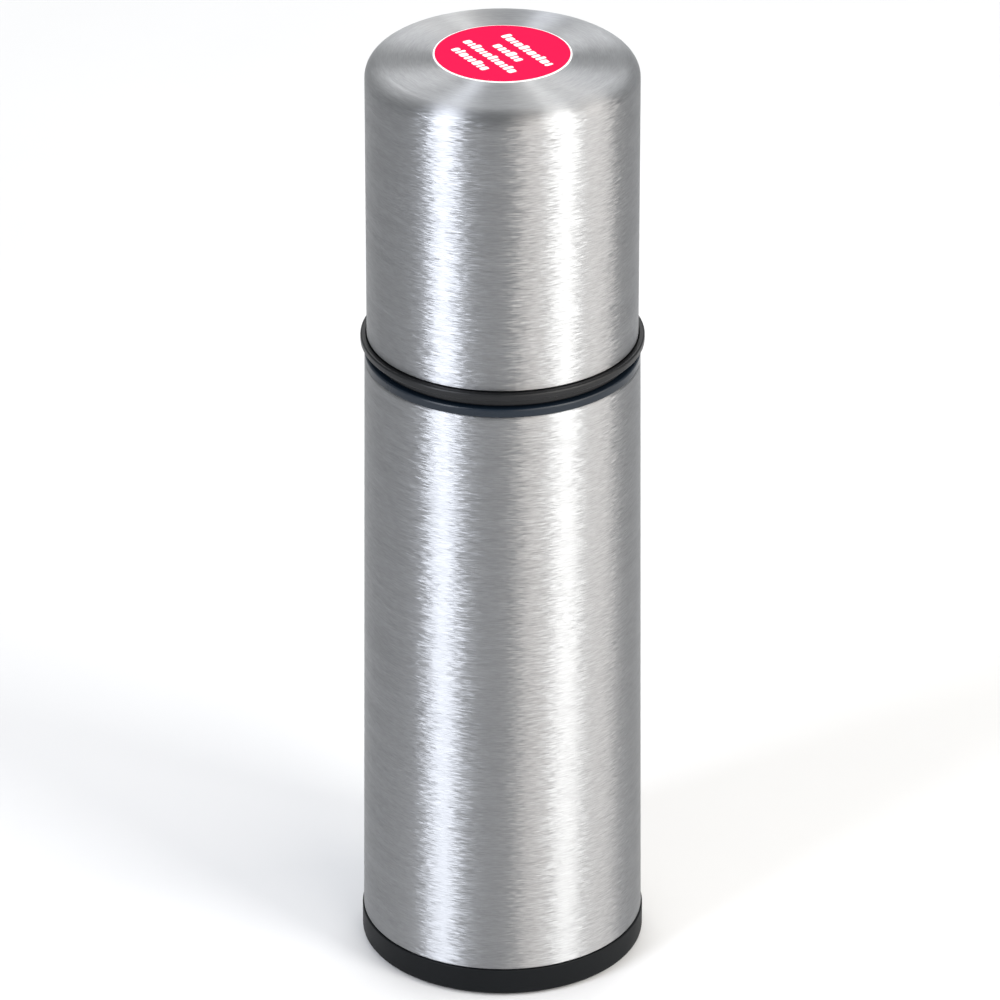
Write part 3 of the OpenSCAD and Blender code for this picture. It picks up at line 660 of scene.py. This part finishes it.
button_foot, button_top = button_low[2], button_high[2]
groove_low, groove_high, groove_floor = button_foot + 1.5, button_foot + 2.9, button_radius - 1.3
skirt, under = button_radius - 2.2, button_top - 2
boss, boss_foot = 4.2, head_top - 7
socket, socket_top = 2.02, boss_foot + 6.5
button = turned("pour_button_skin", rounded([
    (socket, boss_foot, 0.1), (boss, boss_foot, 0.3), (boss, under, 0.6), (skirt, under, 0.6),
    (skirt, button_foot, 0.3), (button_radius, button_foot, 0.3), (button_radius, groove_low, 0.1),
    (groove_floor, groove_low, 0.1), (groove_floor, groove_high, 0.1), (button_radius, groove_high, 0.1),
    (button_radius, button_top, 0.8), (button_radius - 1.6, button_top, 0.6),
    (button_radius - 4.2, button_top - 0.45, 1.2), (0, button_top - 0.6, 0), (0, socket_top, 0),
    (socket, socket_top, 0.1)]), sides=144)
button.data.materials.append(moulded("grey_polypropylene", "#3A3D40", 0.42, 0.3, 4, 0.35))
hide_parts("pour_button")
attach(button, "valve")
dressed(spring_steel, "valve_stem", "valve_clip")
dressed(black_plastic, "valve_disc")
dressed(silicone, "valve_seal", "button_oring")

# ---- Cup shell: deep-drawn 18/8 stainless with a rounded top edge, brushed on the lathe like the body, so
# ---- that the grain runs in rings on its flat top.

cup_low, cup_high = mm_box("cup_shell")
cup_radius, cup_corner = cup_high[0], 5.0
cup_shell = turned("cup_shell_skin", rounded([
    (cup_radius - steel, cup_low[2], 0.1), (cup_radius, cup_low[2], 0.2), (cup_radius, cup_high[2], cup_corner),
    (0, cup_high[2], 0), (0, cup_high[2] - steel, 0),
    (cup_radius - steel, cup_high[2] - steel, cup_corner - steel)], steps=16))
cup_shell.data.materials.append(brushed_steel)
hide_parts("cup_shell")
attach(cup_shell, "cup")

# ---- Cup liner: satin black polypropylene, pressed into the steel. Its lip covers the steel's edge, and its
# ---- skirt with the inside thread goes down over the collar.

liner_low, liner_high = mm_box("cup_liner")
lip_radius = liner_high[0]
lip_height = 1.9
lip_top = cup_low[2] - seat_gap
lip_foot = lip_top - lip_height
liner_radius = cup_radius - steel - fit
liner_wall = 1.6
liner_bore = liner_radius - liner_wall
liner_corner = cup_corner - steel
liner_cup = turned("liner_cup", rounded([
    (liner_bore, liner_low[2], 0.4), (liner_radius - fit, liner_low[2], 0.4),
    (liner_radius - fit, lip_foot, 0.2), (lip_radius, lip_foot, 0.35), (lip_radius, lip_top, 0.6),
    (cup_radius + 0.3, lip_top, 0.15), (cup_radius, lip_top - 0.3, 0.15), (cup_radius - 0.9, lip_top - 0.3, 0.15),
    (liner_radius, lip_top + 0.4, 0.2), (liner_radius, liner_high[2], liner_corner),
    (0, liner_high[2], 0), (0, liner_high[2] - liner_wall, 0),
    (liner_bore, liner_high[2] - liner_wall, liner_corner - liner_wall)]))
liner_thread = ridge("liner_thread", liner_bore + ridge_sink, liner_bore - cup_ridge, cup_lead, cup_turns,
                     thread_foot + cup_lead / 2, cup_ridge_root, cup_ridge_crest)
liner = joined("liner", [liner_cup, liner_thread])
liner_plastic = moulded("black_satin_polypropylene", "#0E0F11", 0.36, 0.3, 3, 0.27)
liner.data.materials.append(liner_plastic)
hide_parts("cup_liner")
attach(liner, "cup")

# ---- Foam disc: closed-cell grey foam, stamped out and laid between the cup's liner and its steel top, where it
# ---- keeps the cup from ringing and from burning the hand.

dressed(grey_foam, "cup_cushion")

# ---- Label: a round sticker of varnished paper on the cup's top, crimson with a white edge. The rows of white
# ---- blocks stand in for print, and say nothing.

label_low, label_high = mm_box("cup_label")
label_radius = (label_high[0] - label_low[0]) / 2
label_middle = (label_high[1] + label_low[1]) / 2
label_paper_top = label_high[2] - 0.03
ink_edge, ink_height, ink_slip = 0.45, 0.015, 0.2
ink_radius, ink_top = label_radius - ink_edge, label_paper_top + ink_height


def varnished_paper(name, colour):
    """Printed paper under gloss varnish: a flat ink colour with the paper's fibre just showing in the gloss."""
    made, tree, place = blank_material(name)
    fibre = add(tree, "TexNoise", {"Vector": place, "Scale": 1400.0, "Detail": 3.0})
    tone = add(tree, "Mix", {"Factor": fibre, mix_a: linear(colour, 0.96), mix_b: linear(colour)}, data_type="RGBA")
    relief = add(tree, "Bump", {"Height": fibre, "Distance": 0.000004, "Strength": 0.6})
    shader = add(tree, "BsdfPrincipled", {
        "Base Color": (tone, mixed), "Roughness": 0.5, "Specular IOR Level": 0.03, "Normal": relief})
    add(tree, "OutputMaterial", {"Surface": shader})
    return made


def shifted(piece, y):
    """Moves a piece's mesh along Y, in millimetres."""
    points = np.empty(len(piece.data.vertices) * 3)
    piece.data.vertices.foreach_get("co", points)
    points.reshape(-1, 3)[:, 1] += y / mm_per_m
    piece.data.vertices.foreach_set("co", points)
    piece.data.update()
    return piece


paper = turned("label_paper", rounded([
    (0, label_low[2], 0), (label_radius, label_low[2], 0), (label_radius, label_paper_top, 0.04),
    (0, label_paper_top, 0)]), sides=192)
ink = turned("label_ink", rounded([
    (0, label_paper_top, 0), (ink_radius, label_paper_top, 0), (ink_radius, ink_top, 0.007), (0, ink_top, 0)]),
    sides=192)
shifted(paper, label_middle)
shifted(ink, label_middle + ink_slip)
paper.data.materials.append(varnished_paper("white_label_paper", "#FBF7F8"))
ink.data.materials.append(varnished_paper("crimson_label_ink", "#DC0046"))
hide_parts("cup_label")
for piece in (paper, ink):
    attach(piece, "cup")


def blocks(name, rows, slope, block_height, top):
    """Rows of flat rounded blocks, like print that can't be read. Each row is (how far across the rows, how far
    along, length); each block is a superellipse of the fourth power, and their lengths follow a sine rule."""
    across = np.array([np.sin(np.radians(-slope)), np.cos(np.radians(slope))])
    along = np.array([np.cos(np.radians(slope)), np.sin(np.radians(slope))])
    sides, pitch, gap, depth = 24, 1.9, 0.42, 0.012
    n = np.arange(sides)
    beside = (n + 1) % sides
    t = np.linspace(0, 2 * np.pi, sides, endpoint=False)
    curve = np.stack([np.sign(np.cos(t)) * np.abs(np.cos(t)) ** 0.5, np.sign(np.sin(t)) * np.abs(np.sin(t)) ** 0.5])
    points, faces = [], []
    for row, (side, middle, length) in enumerate(rows):
        count = max(2, round(length / pitch))
        wide = 1 + 0.35 * np.sin(2.3 * np.arange(count) + row)
        wide *= (length - gap * (count - 1)) / wide.sum()
        start = np.cumsum(wide + gap) - wide - gap - length / 2
        for k, (w, s) in enumerate(zip(wide, start)):
            tall = block_height * (1.25 if (k + row) % 4 == 0 else 1.0)
            u = middle + s + w / 2 + curve[0] * w / 2
            v = side + curve[1] * tall / 2 + (tall - block_height) / 2
            flat = u[:, None] * along + v[:, None] * across
            low = len(points) * 2 * sides
            high = low + sides
            points.append(np.vstack([np.c_[flat, 0 * u + top - depth], np.c_[flat, 0 * u + top]]))
            faces += np.stack([low + n, low + beside, high + beside, high + n], axis=1).tolist()
            faces += [(low + n[::-1]).tolist(), (high + n).tolist()]
    piece = skin(name, np.vstack(points) + [0, label_middle, 0], faces)
    piece.data.shade_flat()
    return piece


marks = blocks("label_marks", [(6.2, 1.5, 21.5), (1.3, 0.3, 11.5), (-3.7, -0.2, 22.5), (-8.6, -1.5, 15)],
               -58, 2.3, label_high[2])
marks.data.materials.append(varnished_paper("white_label_ink", "#FBF7F8"))
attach(marks, "cup")
